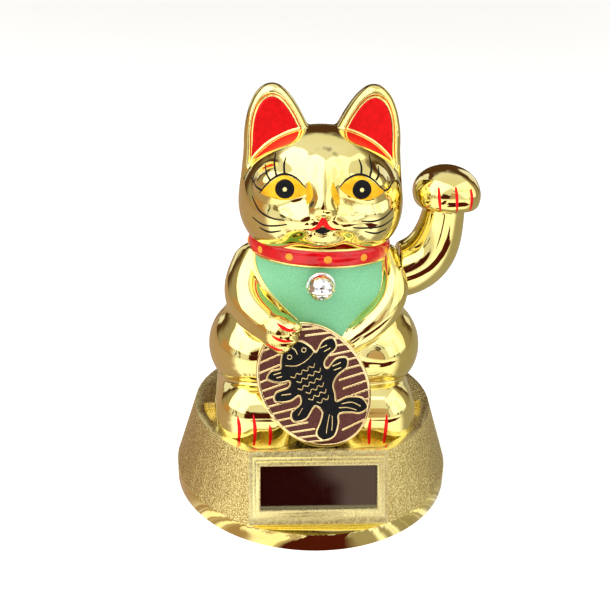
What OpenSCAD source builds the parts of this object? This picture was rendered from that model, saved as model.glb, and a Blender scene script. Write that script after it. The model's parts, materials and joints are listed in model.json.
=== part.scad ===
// Solar-powered beckoning cat figurine: a hollow plated figure on a round base,
// with one arm that swings on a magnet pendulum driven by a coil in the base.
// Millimetres. +Z is up, the figure faces -Y, and the origin is the centre of the underside.

/* [Base] */
// Radius of the round foot band
base_r = 44.4; // [43:0.2:46]
// Height of the polished foot band
band_h = 5.6; // [5:0.1:6.5]
// Height of the base's top rim
rim_z = 26; // [25.5:0.1:27]
// Radius of the top rim
rim_r = 38; // [37.5:0.1:38.5]
// Lean of the front panel, in degrees from upright
panel_lean = 19.8; // [19:0.1:21]
// Wall thickness of the base
base_wall = 2.2; // [2:0.1:2.4]

/* [Solar cell] */
// Width of the cell's glass
cell_w = 35; // [34.6:0.1:36]
// Height of the cell's glass
cell_h = 13.9; // [13.5:0.1:14.2]
// Thickness of the cell's glass
cell_t = 1.1; // [0.9:0.1:1.1]

/* [Figure] */
// Wall thickness of the plated shells
shell_wall = 2; // [1.6:0.1:2.2]
// Thickness of the coin plaque
coin_t = 2.6; // [2.2:0.1:3]
// Radius of the bell
bell_r = 3.8; // [3.4:0.1:4]

/* [Swinging arm] */
// Height of the arm's pivot
axis_z = 70; // [69.5:0.1:70.5]
// Wall thickness of the arm's shells
arm_wall = 1.6; // [1.4:0.1:1.8]
// Radius of the steel axle
axle_r = 1; // [0.8:0.1:1.2]
// Radial running clearance of the axle in its bracket
axle_gap = 0.06; // [0.03:0.01:0.09]

/* [Hidden] */

fine = 96;          // facets of a large round
medium = 26;        // facets of a blended form's outside
coarse = 18;        // facets of a blended form's inside
eps = 0.01;
big = 200;
glue_gap = 0.2;     // clearance of a part that is glued into its seat

// Base
floor_z = 23;                       // floor of the well that the figure stands in
floor_t = 2;
rim_w = 2.6;                        // width of the rim at the sides
front_rim_w = 1.2;                  // width of the rim above the front panel
well_back = -3.5;                   // the well ends here, and the rear deck begins
panel_top_y = -32.1;                // the front panel's top edge
window = [34.2, 12.9];
window_down = 10.6;                 // from the panel's top edge to the window's centre
tape = [6, 16, 0.4];
bezels = [[38.6, 17.6, 0.4], [36.6, 15.4, 0.9]];   // width, height and how far each stands out
seat_c = [0, 6];                    // where the figure's back sinks into the rear deck
seat_half = [31.5, 21];
slot = [14, 36];                    // the pendulum's way through both floors
slot_y = 0.5;
cover_t = 2;
cover_r = base_r - base_wall - 0.3;
cover_spots = [for (a = [40, 140, 220, 320]) 34.5 * [cos(a), sin(a)]];
cover_boss_h = 6;

// Figure
seam_y = 0;                         // the front and rear shells meet here
figure_posts = [[-21, -7], [21, -7], [-20, 15], [20, 15]];
pin_spots = [[-25, 54], [25, 54], [-20, 97], [20, 97]];
collar_z = 79.7;
collar_half = [21.2, 18.4];
collar_h = 4.6;
collar_lean = 2.3;                  // the collar stands a little higher in front
coin_c = [-1.4, -25.5, 43.8];       // centre of the coin's front face
coin_half = [15.6, 20.2];
coin_lean = 10;                     // the coin's top leans back
coin_turn = 30;                     // and the oval leans towards the paw that holds it
bell_c = [0, -22.4, 73.2];

// Swing
seat_x = 24.4;                      // flat seat on the shoulder that the arm turns beside
arm_x = 25;                         // flat face of the arm's root
root_r = 9;
neck_r = 3.6;
hub_flange_r = 6.2;
ears_x = [-12.5, 10];               // left faces of the bracket's two ears
ear_t = 2.5;
bracket_y = 10;
bracket_t = 2;
bracket_spots = [[-6, 63], [6, 71.5]];
axle_x = [-15, 33];
collar_r = 2.5;
collar_t = 1.2;
side_play = 0.15;
lever_t = 3;
weight_at = [2.2, 37];              // Y and Z of the balance weight
weight_r = 3.4;
weight_l = 11;
magnet_r = 5;
magnet_h = 4;
magnet_z = 12.4;

// Board
board = [36, 26, 1.2];
board_c = [0, 3];
board_z = 6;
board_spots = [[-15, 12.5], [15, -6.5]];
coil_r = 7;
coil_h = 4.4;
flange_t = 0.8;
core_r = 2.5;

// ---------------------------------------------------------------- shared shapes

// Blends its children into one closed skin.
module skin() resize([0, 0, 0]) children();

module ellipsoid(c, r, n) translate(c) scale(r) sphere(1, $fn = n);

module ball(c, r, n) translate(c) sphere(r, $fn = n);

module both_sides() {
    children();
    mirror([1, 0, 0]) children();
}

module along_x(p, r, l) translate(p) rotate([0, 90, 0]) cylinder(r = r, h = l, $fn = 48);

module along_y(p, r, l) translate(p) rotate([-90, 0, 0]) cylinder(r = r, h = l, $fn = 48);

module along_z(p, r, l) translate(p) cylinder(r = r, h = l, $fn = 48);

// A cross-headed pan screw that points along +Z, with its head below the origin.
module pan_screw(head_r, head_h, shank_r, length) {
    difference() {
        union() {
            translate([0, 0, -head_h]) cylinder(r = head_r, h = head_h, $fn = 48);
            translate([0, 0, -eps]) cylinder(r = shank_r, h = length + eps, $fn = 32);
        }
        for (a = [0, 90]) rotate([0, 0, a])
            translate([-head_r * 0.6, -0.25, -head_h - eps]) cube([head_r * 1.2, 0.5, head_h * 0.5]);
    }
}

// An oval plate that stands on the XY plane.
module oval(half, h) linear_extrude(h)
    polygon([for (i = [0 : fine - 1]) [half[0] * cos(360 * i / fine), half[1] * sin(360 * i / fine)]]);

// A wire swept along points.
module wire(points, r, sides = 8) {
    n = len(points);
    function ahead(i) = points[min(i + 1, n - 1)] - points[max(i - 1, 0)];
    function unit(v) = v / norm(v);
    function side(i) = unit(cross(unit(ahead(i)), [1, 0.2, 0.1]));
    function up(i) = cross(unit(ahead(i)), side(i));
    rings = [for (i = [0 : n - 1]) for (k = [0 : sides - 1])
        let (a = 360 * k / sides) points[i] + r * (cos(a) * side(i) + sin(a) * up(i))];
    walls = [for (i = [0 : n - 2]) for (k = [0 : sides - 1])
        let (m = (k + 1) % sides) [i * sides + m, i * sides + k, (i + 1) * sides + k, (i + 1) * sides + m]];
    ends = [[for (k = [0 : sides - 1]) k], [for (k = [sides - 1 : -1 : 0]) (n - 1) * sides + k]];
    polyhedron(points = rings, faces = concat(walls, ends), convexity = 6);
}

// Points of a smooth curve through a few chosen ones.
function smooth_path(p, steps = 5) = [
    for (i = [0 : len(p) - 2]) for (s = [0 : steps - (i < len(p) - 2 ? 1 : 0)])
        let (t = s / steps, a = p[max(i - 1, 0)], b = p[i], c = p[i + 1], d = p[min(i + 2, len(p) - 1)])
        0.5 * (2 * b + (c - a) * t + (2 * a - 5 * b + 4 * c - d) * t * t + (3 * b - a - 3 * c + d) * t * t * t)
];

// ---------------------------------------------------------------- base

// Puts children on the front panel: x across, y up the slope, z out of it.
module at_panel(down = 0, out = 0) translate([
    0,
    panel_top_y - sin(panel_lean) * down - cos(panel_lean) * out,
    rim_z - cos(panel_lean) * down + sin(panel_lean) * out
]) rotate([90 - panel_lean, 0, 0]) children();

// The base's outer form, or the same form moved inwards.
module base_form(inset) {
    foot_h = band_h - inset;
    difference() {
        union() {
            translate([0, 0, -inset]) cylinder(r = base_r - inset, h = foot_h + inset, $fn = fine);
            translate([0, 0, foot_h - eps])
                cylinder(r1 = base_r - inset, r2 = rim_r - inset, h = rim_z - foot_h + eps, $fn = fine);
        }
        intersection() {
            at_panel(0, -inset) translate([-big / 2, -big / 2, 0]) cube(big);
            translate([-big / 2, -big / 2, foot_h]) cube(big);
        }
    }
}

module well_plan() {
    difference() {
        circle(r = rim_r - rim_w, $fn = fine);
        translate([-big / 2, well_back]) square(big);
        translate([-big / 2, panel_top_y + front_rim_w - big]) square(big);
    }
}

module pendulum_slot(z, h)
    translate([-slot[0] / 2, slot_y - slot[1] / 2, z]) cube([slot[0], slot[1], h]);

module base_housing() {
    color("gold") difference() {
        union() {
            difference() {
                base_form(0);
                difference() {
                    base_form(base_wall);
                    translate([-big / 2, -big / 2, floor_z - floor_t]) cube(big);
                }
            }
            at_panel(window_down) for (b = bezels)
                translate([-b[0] / 2, -b[1] / 2, -1]) cube([b[0], b[1], b[2] + 1]);
            for (p = cover_spots)
                along_z([p[0], p[1], cover_boss_h], 3, floor_z - floor_t - cover_boss_h + 0.5);
        }
        translate([0, 0, floor_z]) linear_extrude(big) well_plan();
        translate([seat_c[0], seat_c[1], floor_z]) oval(seat_half, 10);
        pendulum_slot(floor_z - floor_t - 1, floor_t + 2);
        at_panel(window_down, -base_wall - 1) translate([-window[0] / 2, -window[1] / 2, 0])
            cube([window[0], window[1], 12]);
        at_panel(window_down, -base_wall - 4)
            translate([-cell_w / 2 - glue_gap, -cell_h / 2 - glue_gap, 0])
            cube([cell_w + 2 * glue_gap, cell_h + 2 * glue_gap, 4 + cell_t]);
        for (p = cover_spots) along_z([p[0], p[1], cover_boss_h - 1], 1, 9);
        for (p = figure_posts) along_z([p[0], p[1], floor_z - floor_t - 1], 1.4, floor_t + 2);
    }
}

module base_cover() {
    color("khaki") difference() {
        union() {
            cylinder(r = cover_r, h = cover_t, $fn = fine);
            for (p = cover_spots) along_z([p[0], p[1], cover_t - 1], 3.6, cover_boss_h - cover_t + 1 - 0.05);
            for (p = board_spots) along_z([p[0], p[1], cover_t - 1], 2.2, board_z - cover_t + 1);
        }
        for (p = cover_spots) {
            along_z([p[0], p[1], -1], 2.6, 4.5);
            along_z([p[0], p[1], 3], 1.3, 5);
        }
        for (p = board_spots) along_z([p[0], p[1], 3], 0.7, 5);
    }
}

module cover_screws() {
    color("silver") for (p = cover_spots) translate([p[0], p[1], 3.5]) pan_screw(2.2, 1.5, 0.95, 9);
}

// ---------------------------------------------------------------- figure

// Every rounded form of the seated cat, or the same forms moved inwards.
module figure_forms(inset, n) {
    function less(r) = [for (v = r) v - inset];
    both_sides() {
        ellipsoid([18.5, -12.5, 30], less([12.5, 15, 9.5]), n);     // feet
        ellipsoid([19.5, 0, 45.5], less([14, 19, 15]), n);          // haunches
        ellipsoid([16.5, -1, 65], less([11.5, 14, 11]), n);         // shoulders
        ellipsoid([10.5, -2.5, 91], less([13, 17, 12.5]), n);       // cheeks
        ear(inset, n);
    }
    ellipsoid([0, 4.5, 30], less([31, 22, 18]), n);                 // seat
    ellipsoid([0, 1.5, 46], less([27, 24, 24]), n);                 // belly
    ellipsoid([0, 1, 68], less([24.5, 19, 17]), n);                 // chest
    ellipsoid([0, 0, 80], less([20, 17.5, 8]), n);                  // neck
    ellipsoid([0.3, 0, 95.5], less([23.5, 20.5, 18.5]), n);         // skull
}

module ear(inset, n) hull() {
    ball([18.4, 1, 104], 4 - inset, n);
    ball([7.9, 1.5, 110.5], 3.8 - inset, n);
    ball([18.6, 2, 117], 3.2 - inset, n);
    ball([14.4, 2.2, 122.4], 3.2 - inset, n);
}

// The other foreleg comes down from the shoulder and its paw holds the coin.
module coin_arm(n) {
    hull() {
        ball([-20, -9, 69], 7.5, n);
        ball([-19, -16.5, 62], 6.2, n);
    }
    hull() {
        ball([-19, -16.5, 62], 6.2, n);
        ball([-10.5, -22.8, 60.5], 5, n);
    }
}

// A fold runs from the other shoulder to the coin.
module chest_fold(n) hull() {
    ball([21, -10, 72], 5, n);
    ball([11, -19.5, 57], 4, n);
}

module collar_ring() translate([0, 0, collar_z]) rotate([-collar_lean, 0, 0])
    translate([0, 0, -collar_h / 2]) oval(collar_half, collar_h);

module at_coin(out = 0) translate(coin_c) rotate([90 - coin_lean, 0, 0])
    rotate([0, 0, coin_turn]) translate([0, 0, out]) children();

// Everything on the far side of the seam from the side that is kept.
module other_side(keep_y) translate([-big / 2, keep_y < 0 ? seam_y : seam_y - big, 0]) cube(big);

// One half of the hollow figure, without its bosses.
module figure_half(keep_y) {
    skin() difference() {
        union() {
            figure_forms(0, medium);
            if (keep_y < 0) {
                coin_arm(medium);
                chest_fold(medium);
            }
            collar_ring();
            along_x([12, 0, axis_z], root_r + 0.3, seat_x - 12);
        }
        difference() {
            figure_forms(shell_wall, coarse);
            translate([-big / 2, -big / 2, floor_z + floor_t - big]) cube(big);
            along_x([seat_x - shell_wall, 0, axis_z], root_r + 0.3, shell_wall + 1);
        }
        other_side(keep_y);
        translate([-big / 2, -big / 2, floor_z - big]) cube(big);
    }
}

module shoulder_pocket() {
    along_x([seat_x, 0, axis_z], root_r + 0.9, 10);
    along_x([seat_x - 8, 0, axis_z], neck_r + 0.8, 12);
}

module figure_front_shell() {
    color("gold") difference() {
        union() {
            figure_half(-1);
            // boss behind the coin and behind the bell
            at_coin(-coin_t - 3.4) oval([13, 17], 3.4);
            along_y([bell_c[0], -19.5, bell_c[2]], 3, 5);
            for (p = figure_posts) if (p[1] < 0) along_z([p[0], p[1], floor_z + floor_t - 1], 3, 9);
            for (p = pin_spots) {
                along_y([p[0], seam_y - 5, p[1]], 2.6, 5);
                along_y([p[0], seam_y - 1, p[1]], 1.2, 4.5);
            }
        }
        at_coin(-coin_t) oval([coin_half[0] + glue_gap, coin_half[1] + glue_gap], 20);
        for (x = [-6, 6]) at_coin(-coin_t) translate([x, 0, -2.4]) cylinder(r = 1.3, h = 3, $fn = 48);
        along_y([bell_c[0], -30, bell_c[2]], 1.1, 14);
        translate(bell_c) sphere(bell_r + glue_gap, $fn = 48);
        for (p = figure_posts) if (p[1] < 0) along_z([p[0], p[1], floor_z - 1], 1, 9.5);
        pendulum_slot(floor_z - 1, floor_t + 2);
        shoulder_pocket();
    }
}

module figure_rear_shell() {
    color("goldenrod") difference() {
        union() {
            figure_half(1);
            for (p = figure_posts) if (p[1] > 0) along_z([p[0], p[1], floor_z + floor_t - 1], 3, 9);
            for (p = pin_spots) along_y([p[0], seam_y, p[1]], 2.6, 5.5);
            for (p = bracket_spots)
                along_y([p[0], bracket_y + bracket_t, p[1]], 2.6, 5.2);
        }
        for (p = figure_posts) if (p[1] > 0) along_z([p[0], p[1], floor_z - 1], 1, 9.5);
        for (p = pin_spots) along_y([p[0], seam_y - 1, p[1]], 1.25, 5);
        for (p = bracket_spots) along_y([p[0], bracket_y + bracket_t - 1, p[1]], 0.8, 4.5);
        pendulum_slot(floor_z - 1, floor_t + 2);
        shoulder_pocket();
    }
}

module figure_screws() {
    color("silver") for (p = figure_posts)
        translate([p[0], p[1], floor_z - floor_t]) pan_screw(2.4, 1.5, 0.95, 9);
}

module coin_plaque() {
    color("saddlebrown") at_coin() {
        translate([0, 0, -coin_t]) difference() {
            oval(coin_half, coin_t);
            translate([0, 0, coin_t - 0.5]) oval([coin_half[0] - 0.9, coin_half[1] - 0.9], 1);
        }
        for (x = [-6, 6]) translate([x, 0, -coin_t - 2.1]) cylinder(r = 1.2, h = 2.2, $fn = 48);
    }
}

module collar_bell() {
    color("silver") {
        translate(bell_c) sphere(bell_r, $fn = 48);
        along_y([bell_c[0], bell_c[1], bell_c[2]], 1, 5.5);
    }
}

// ---------------------------------------------------------------- solar cell and board

module solar_cell() {
    color([0.25, 0.1, 0.08]) at_panel(window_down, -base_wall)
        translate([-cell_w / 2, -cell_h / 2, 0]) cube([cell_w, cell_h, cell_t]);
}

module cell_tape() {
    color("wheat") at_panel(window_down, -base_wall - tape[2]) for (x = [-9.5, 9.5])
        translate([x - tape[0] / 2, cell_h / 2 - tape[1], 0]) cube(tape);
}

red_route = [[-15.5, -32.2, 13], [-15.5, -28, 12], [-15, -20, 9], [-14, -11, 8.4], [-14, -8, 7.7]];
black_route = [[15.5, -32.2, 13], [15.5, -28, 12], [12, -20, 9], [9, -11, 8.4], [9, -8, 7.7]];

module cell_lead_red() color("red") wire(smooth_path(red_route), 0.5);

module cell_lead_black() color([0.15, 0.15, 0.15]) wire(smooth_path(black_route), 0.5);

module circuit_board() {
    color("seagreen") difference() {
        translate([board_c[0] - board[0] / 2, board_c[1] - board[1] / 2, board_z]) cube(board);
        for (p = board_spots) along_z([p[0], p[1], board_z - 1], 1, 4);
    }
}

module board_screws() {
    color("silver") for (p = board_spots)
        translate([p[0], p[1], board_z + board[2]]) rotate([180, 0, 0]) pan_screw(1.7, 1.1, 0.65, 4);
}

module driver_chip() {
    color([0.12, 0.12, 0.12]) translate([11, 8, board_z + board[2]]) intersection() {
        translate([0, 0, -3.2]) sphere(4.6, $fn = 40);
        cylinder(r = 4, h = 3, $fn = 40);
    }
}

module capacitor() {
    color("navy") along_z([-12, 2, board_z + board[2]], 2, 3.6);
}

module coil_bobbin() {
    color("ivory") translate([0, 0, board_z + board[2]]) rotate_extrude($fn = fine) polygon([
        [0, 0], [coil_r, 0], [coil_r, flange_t], [core_r, flange_t],
        [core_r, coil_h - flange_t], [coil_r, coil_h - flange_t], [coil_r, coil_h], [0, coil_h]
    ]);
}

module coil_winding() {
    color("peru") translate([0, 0, board_z + board[2] + flange_t]) difference() {
        cylinder(r = coil_r - 0.6, h = coil_h - 2 * flange_t, $fn = fine);
        translate([0, 0, -1]) cylinder(r = core_r, h = coil_h, $fn = fine);
    }
}

// ---------------------------------------------------------------- pivot and swinging arm

module pivot_bracket() {
    color("ivory") difference() {
        union() {
            translate([ears_x[0], bracket_y, axis_z - 10])
                cube([ears_x[1] + ear_t - ears_x[0], bracket_t, 14]);
            for (x = ears_x) {
                translate([x, 0, axis_z - 3.5]) cube([ear_t, bracket_y + 1, 7]);
                along_x([x, 0, axis_z], 3.5, ear_t);
            }
        }
        for (x = ears_x) along_x([x - 1, 0, axis_z], axle_r + axle_gap, ear_t + 2);
        for (p = bracket_spots) along_y([p[0], bracket_y - 1, p[1]], 1.1, bracket_t + 2);
    }
}

module bracket_screws() {
    color("silver") for (p = bracket_spots)
        translate([p[0], bracket_y, p[1]]) rotate([-90, 0, 0]) pan_screw(2, 1.4, 0.75, 5.5);
}

module arm_forms(inset, n) {
    hull() {
        ball([27.5, 0, axis_z], root_r - inset, n);
        ball([35.8, -0.3, axis_z + 0.6], 7.3 - inset, n);
        ball([36.6, -2.5, axis_z + 19.5], 5.9 - inset, n);
    }
    ellipsoid([36.5, -4.5, axis_z + 28], [9 - inset, 8.2 - inset, 6.5 - inset], n);
}

module arm_half(keep_y) {
    difference() {
        skin() difference() {
            arm_forms(0, medium);
            difference() {
                arm_forms(arm_wall, coarse);
                translate([arm_x + arm_wall - big, -big / 2, 0]) cube(big);
            }
            other_side(keep_y);
            translate([arm_x - big, -big / 2, 0]) cube(big);
        }
        along_x([arm_x - 1, 0, axis_z], neck_r + 0.05, arm_wall + 2);
    }
}

module arm_front_shell() color("gold") arm_half(-1);

module arm_rear_shell() color("goldenrod") arm_half(1);

module arm_hub() {
    color("ivory") difference() {
        union() {
            along_x([seat_x - 2.8, 0, axis_z], neck_r, arm_x + arm_wall - seat_x + 2.8 + eps);
            along_x([arm_x + arm_wall + 0.05, 0, axis_z], hub_flange_r, 1.8);
            along_x([arm_x + arm_wall, 0, axis_z], 3, axle_x[1] - arm_x - arm_wall);
        }
        along_x([seat_x - 5, 0, axis_z], axle_r, 20);
    }
}

module pivot_axle() {
    color("silver") along_x([axle_x[0], 0, axis_z], axle_r, axle_x[1] - axle_x[0]);
}

module axle_collars() {
    color("dimgray") for (x = [ears_x[0] - side_play - collar_t, ears_x[1] - side_play - collar_t])
        difference() {
            along_x([x, 0, axis_z], collar_r, collar_t);
            along_x([x - 1, 0, axis_z], axle_r, collar_t + 2);
        }
}

module pendulum_lever() {
    half = lever_t / 2;
    color("ivory") difference() {
        union() {
            along_x([-3, 0, axis_z], 3.6, 6);
            translate([-half, -2, magnet_z + magnet_h]) cube([lever_t, 4, axis_z - magnet_z - magnet_h - 2]);
            along_x([-half, weight_at[0], weight_at[1]], weight_r + 1.3, lever_t);
            along_z([0, 0, magnet_z + 1], magnet_r + 1.1, magnet_h - 0.4);
        }
        along_x([-5, 0, axis_z], axle_r, 10);
        along_x([-5, weight_at[0], weight_at[1]], weight_r, 10);
        along_z([0, 0, magnet_z - 1], magnet_r, magnet_h + 1);
    }
}

module drive_magnet() color("dimgray") along_z([0, 0, magnet_z], magnet_r, magnet_h);

module balance_weight()
    color("silver") along_x([-weight_l / 2, weight_at[0], weight_at[1]], weight_r, weight_l);

// ---------------------------------------------------------------- output

base_housing();
base_cover();
cover_screws();
figure_front_shell();
figure_rear_shell();
figure_screws();
coin_plaque();
collar_bell();
solar_cell();
cell_tape();
cell_lead_red();
cell_lead_black();
circuit_board();
board_screws();
driver_chip();
capacitor();
coil_bobbin();
coil_winding();
pivot_bracket();
bracket_screws();
arm_front_shell();
arm_rear_shell();
arm_hub();
pivot_axle();
axle_collars();
pendulum_lever();
drive_magnet();
balance_weight();
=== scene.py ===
"""Beckoning cat figurine: mirror-plated shells, an enamelled coin and a sand-textured base.

Shapes are worked out in millimetres in the frame's own axes and turned into metres when a mesh is made.
"""
import json
import math

import bmesh
import bpy
import numpy as np
from mathutils import Matrix, Vector
from mathutils.geometry import delaunay_2d_cdt


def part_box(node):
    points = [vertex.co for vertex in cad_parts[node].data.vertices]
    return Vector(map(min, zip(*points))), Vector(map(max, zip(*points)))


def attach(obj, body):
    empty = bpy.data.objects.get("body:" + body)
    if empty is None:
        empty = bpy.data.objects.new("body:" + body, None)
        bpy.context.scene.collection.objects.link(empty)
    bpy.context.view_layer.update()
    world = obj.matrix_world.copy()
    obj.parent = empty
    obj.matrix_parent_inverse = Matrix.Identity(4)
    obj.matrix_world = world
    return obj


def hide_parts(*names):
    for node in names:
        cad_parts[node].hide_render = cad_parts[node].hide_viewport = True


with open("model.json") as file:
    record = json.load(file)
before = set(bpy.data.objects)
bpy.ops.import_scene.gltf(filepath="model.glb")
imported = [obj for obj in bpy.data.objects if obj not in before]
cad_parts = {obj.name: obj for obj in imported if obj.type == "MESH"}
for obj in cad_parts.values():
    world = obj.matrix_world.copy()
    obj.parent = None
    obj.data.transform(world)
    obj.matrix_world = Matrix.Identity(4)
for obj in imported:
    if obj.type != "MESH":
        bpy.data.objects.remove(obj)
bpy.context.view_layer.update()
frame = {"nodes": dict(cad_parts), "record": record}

MM = 0.001
FRONT, REAR = -1, 1


def node_box(node):
    """Lowest and highest corner of a CAD node, in millimetres."""
    low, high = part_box(node)
    return np.array(low) / MM, np.array(high) / MM


def place_object(name, data):
    """A new object in the scene, from its data."""
    made = bpy.data.objects.new(name, data)
    bpy.context.scene.collection.objects.link(made)
    return made


bell_low, bell_high = node_box("collar_bell")
axle_low, axle_high = node_box("pivot_axle")
RIM_Z = node_box("base_housing")[1][2]
AXIS_Z = (axle_low[2] + axle_high[2]) / 2
FLOOR_Z = node_box("figure_front_shell")[0][2]


# ---------------------------------------------------------------- camera, light and floor

CAMERA_ANGLES = (-3.576, 22.939, 1.295)     # turn, pitch and roll, in degrees
CAMERA_DISTANCE = 229.65
CAMERA_HEIGHT = 155.68
CAMERA_ASIDE = -3.04
CAMERA_LENS = 47.1


def make_camera():
    """The camera stands a little to the left of the figure and looks down on it."""
    turn, pitch, roll = (math.radians(angle) for angle in CAMERA_ANGLES)
    distance, height, aside = CAMERA_DISTANCE, CAMERA_HEIGHT, CAMERA_ASIDE
    place = Vector((
        distance * math.sin(turn) + aside * math.cos(turn),
        -distance * math.cos(turn) + aside * math.sin(turn),
        height,
    ))
    level = math.cos(pitch)
    ahead = Vector((-math.sin(turn) * level, math.cos(turn) * level, -math.sin(pitch)))
    right = ahead.cross(Vector((0, 0, 1))).normalized()
    up = right.cross(ahead)
    right, up = (
        math.cos(roll) * right + math.sin(roll) * up,
        -math.sin(roll) * right + math.cos(roll) * up,
    )
    data = bpy.data.cameras.new("camera")
    data.sensor_width = 36
    data.lens = CAMERA_LENS
    data.clip_start = 0.01
    data.clip_end = 60
    camera = place_object("camera", data)
    turned = Matrix((right, up, -ahead)).transposed().to_4x4()
    camera.matrix_world = Matrix.Translation(place * MM) @ turned
    bpy.context.scene.camera = camera


def area_light(name, place, target, size, watts, colour=(1, 1, 1)):
    """A rectangular light that faces a target."""
    data = bpy.data.lights.new(name, "AREA")
    data.shape = "RECTANGLE"
    data.size, data.size_y = size
    data.energy = watts
    data.color = colour
    light = place_object(name, data)
    light.location = place
    light.rotation_euler = (Vector(target) - Vector(place)).to_track_quat("-Z", "Y").to_euler()


class Nodes:
    """Short calls for building a node tree."""

    def __init__(self, tree):
        self.tree = tree
        tree.nodes.clear()

    def add(self, kind, inputs=(), **settings):
        node = self.tree.nodes.new(kind)
        for key, value in settings.items():
            setattr(node, key, value)
        for key, value in dict(inputs).items():
            if isinstance(value, bpy.types.NodeSocket):
                self.tree.links.new(value, node.inputs[key])
            else:
                node.inputs[key].default_value = value
        return node

    def math(self, operation, a, b=0.0, c=0.0):
        return self.add("ShaderNodeMath", {0: a, 1: b, 2: c}, operation=operation).outputs[0]

    def ramp(self, value, low, high, out_low=0.0, out_high=1.0):
        node = self.add(
            "ShaderNodeMapRange",
            {0: value, 1: low, 2: high, 3: out_low, 4: out_high},
            interpolation_type="SMOOTHSTEP",
        )
        return node.outputs[0]

    def window(self, first, second, limits, soft):
        """1 where both values lie between their limits, and 0 outside, with edges that run over soft."""
        sides = []
        for value, low, high in zip((first, second), limits[::2], limits[1::2]):
            rise = self.ramp(value, low - soft, low + soft)
            fall = self.ramp(value, high + soft, high - soft)
            sides.append(self.math("MULTIPLY", rise, fall))
        return self.math("MULTIPLY", *sides)

    def mix(self, share, a, b):
        node = self.add("ShaderNodeMix", {0: share, 6: a, 7: b}, data_type="RGBA")
        return node.outputs[2]


def make_world():
    """A pale studio, with the dark room beyond it that a mirror finish picks up."""
    world = bpy.data.worlds.new("studio")
    bpy.context.scene.world = world
    world.use_nodes = True
    n = Nodes(world.node_tree)
    where = n.add("ShaderNodeTexCoord").outputs["Generated"]
    x, y, z = n.add("ShaderNodeSeparateXYZ", {0: where}).outputs
    rough = n.add("ShaderNodeTexNoise", {"Vector": where, "Scale": 4.5, "Detail": 3.0}).outputs[1]
    wx, wy, _ = n.add("ShaderNodeSeparateXYZ", {0: rough}).outputs
    # The bearing is 0 towards the viewer and grows to the right.
    bearing = n.math("ARCTAN2", x, n.math("MULTIPLY", y, -1.0))
    bearing = n.math("ADD", bearing, n.math("MULTIPLY_ADD", wx, 0.44, -0.22))
    height = n.math("ADD", n.math("ARCSINE", z), n.math("MULTIPLY_ADD", wy, 0.36, -0.18))
    pale, dim, deep = (1.0, 0.99, 0.96, 1), (0.42, 0.36, 0.25, 1), (0.10, 0.045, 0.018, 1)
    dark, green = (0.075, 0.010, 0.006, 1), (0.36, 0.44, 0.36, 1)
    colour = n.mix(n.ramp(n.math("ABSOLUTE", bearing), 1.25, 1.7), pale, dim)
    colour = n.mix(n.ramp(n.math("ABSOLUTE", bearing), 1.9, 2.3), colour, deep)
    # Each patch: bearing limits, height limits, softness of its edge, colour.
    patches = (
        (-1.80, -1.20, -0.7, 0.25, 0.12, (0.60, 0.32, 0.15, 1)),
        (0.42, 0.80, 0.55, 0.95, 0.02, green),
        (1.00, 1.22, -0.1, 0.75, 0.02, green),
        (0.08, 0.34, -0.05, 0.50, 0.02, (0.66, 0.46, 0.33, 1)),
        (-0.36, 0.10, -0.25, 0.30, 0.02, dark),
        (-0.24, -0.04, 0.28, 0.46, 0.03, dark),
        (-0.90, -0.78, -0.2, 0.85, 0.02, (0.30, 0.24, 0.14, 1)),
        (0.34, 0.37, -0.4, 0.9, 0.006, (0.03, 0.02, 0.01, 1)),
        (0.90, 0.94, -0.4, 1.0, 0.006, (0.03, 0.02, 0.01, 1)),
        (-1.05, -1.01, -0.3, 1.0, 0.006, (0.03, 0.02, 0.01, 1)),
        (2.3, 2.7, -0.2, 0.5, 0.03, pale),
        (-2.8, -2.4, 0.0, 0.6, 0.03, pale),
    )
    for *limits, soft, tone in patches:
        colour = n.mix(n.window(bearing, height, limits, soft), colour, tone)
    colour = n.mix(n.ramp(height, 0.72, 0.95), colour, pale)
    seen = n.add("ShaderNodeLightPath").outputs["Is Camera Ray"]
    colour = n.mix(seen, colour, (1.0, 1.0, 1.0, 1))
    shader = n.add("ShaderNodeBackground", {"Color": colour, "Strength": 0.95})
    output = n.add("ShaderNodeOutputWorld")
    world.node_tree.links.new(shader.outputs[0], output.inputs[0])


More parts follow.
